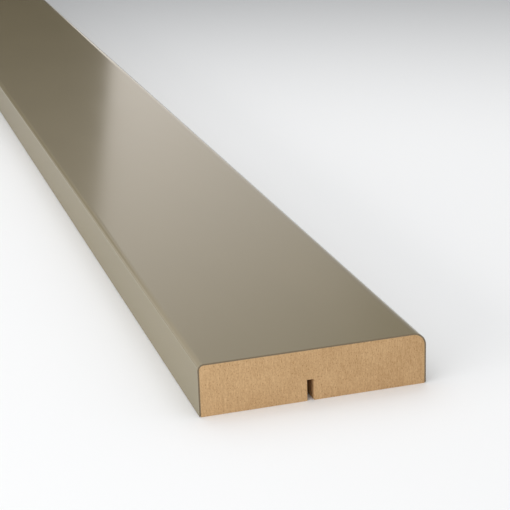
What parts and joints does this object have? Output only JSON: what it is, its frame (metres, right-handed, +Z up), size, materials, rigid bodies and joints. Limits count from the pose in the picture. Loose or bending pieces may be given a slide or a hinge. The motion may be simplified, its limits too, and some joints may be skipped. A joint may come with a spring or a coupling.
{
  "type": "kitchen decorative strip",
  "caption": "Long flat trim strip of foil-wrapped fibreboard with rounded face edges and a narrow relief groove along the back, for finishing the edges of kitchen cabinets.",
  "frame": {"origin": "middle of the back of the strip, on the plane it lies on", "axes": "+X along the strip, +Y across it towards the more rounded face edge, +Z up out of the decorative face"},
  "size_m": [2.21, 0.06, 0.014],
  "materials": {
    "fibreboard": "matte",
    "foil": "gloss"
  },
  "bodies": {
    "root": {"fibreboard_core": "fibreboard", "foil_wrap": "foil"}
  },
  "joints": []
}
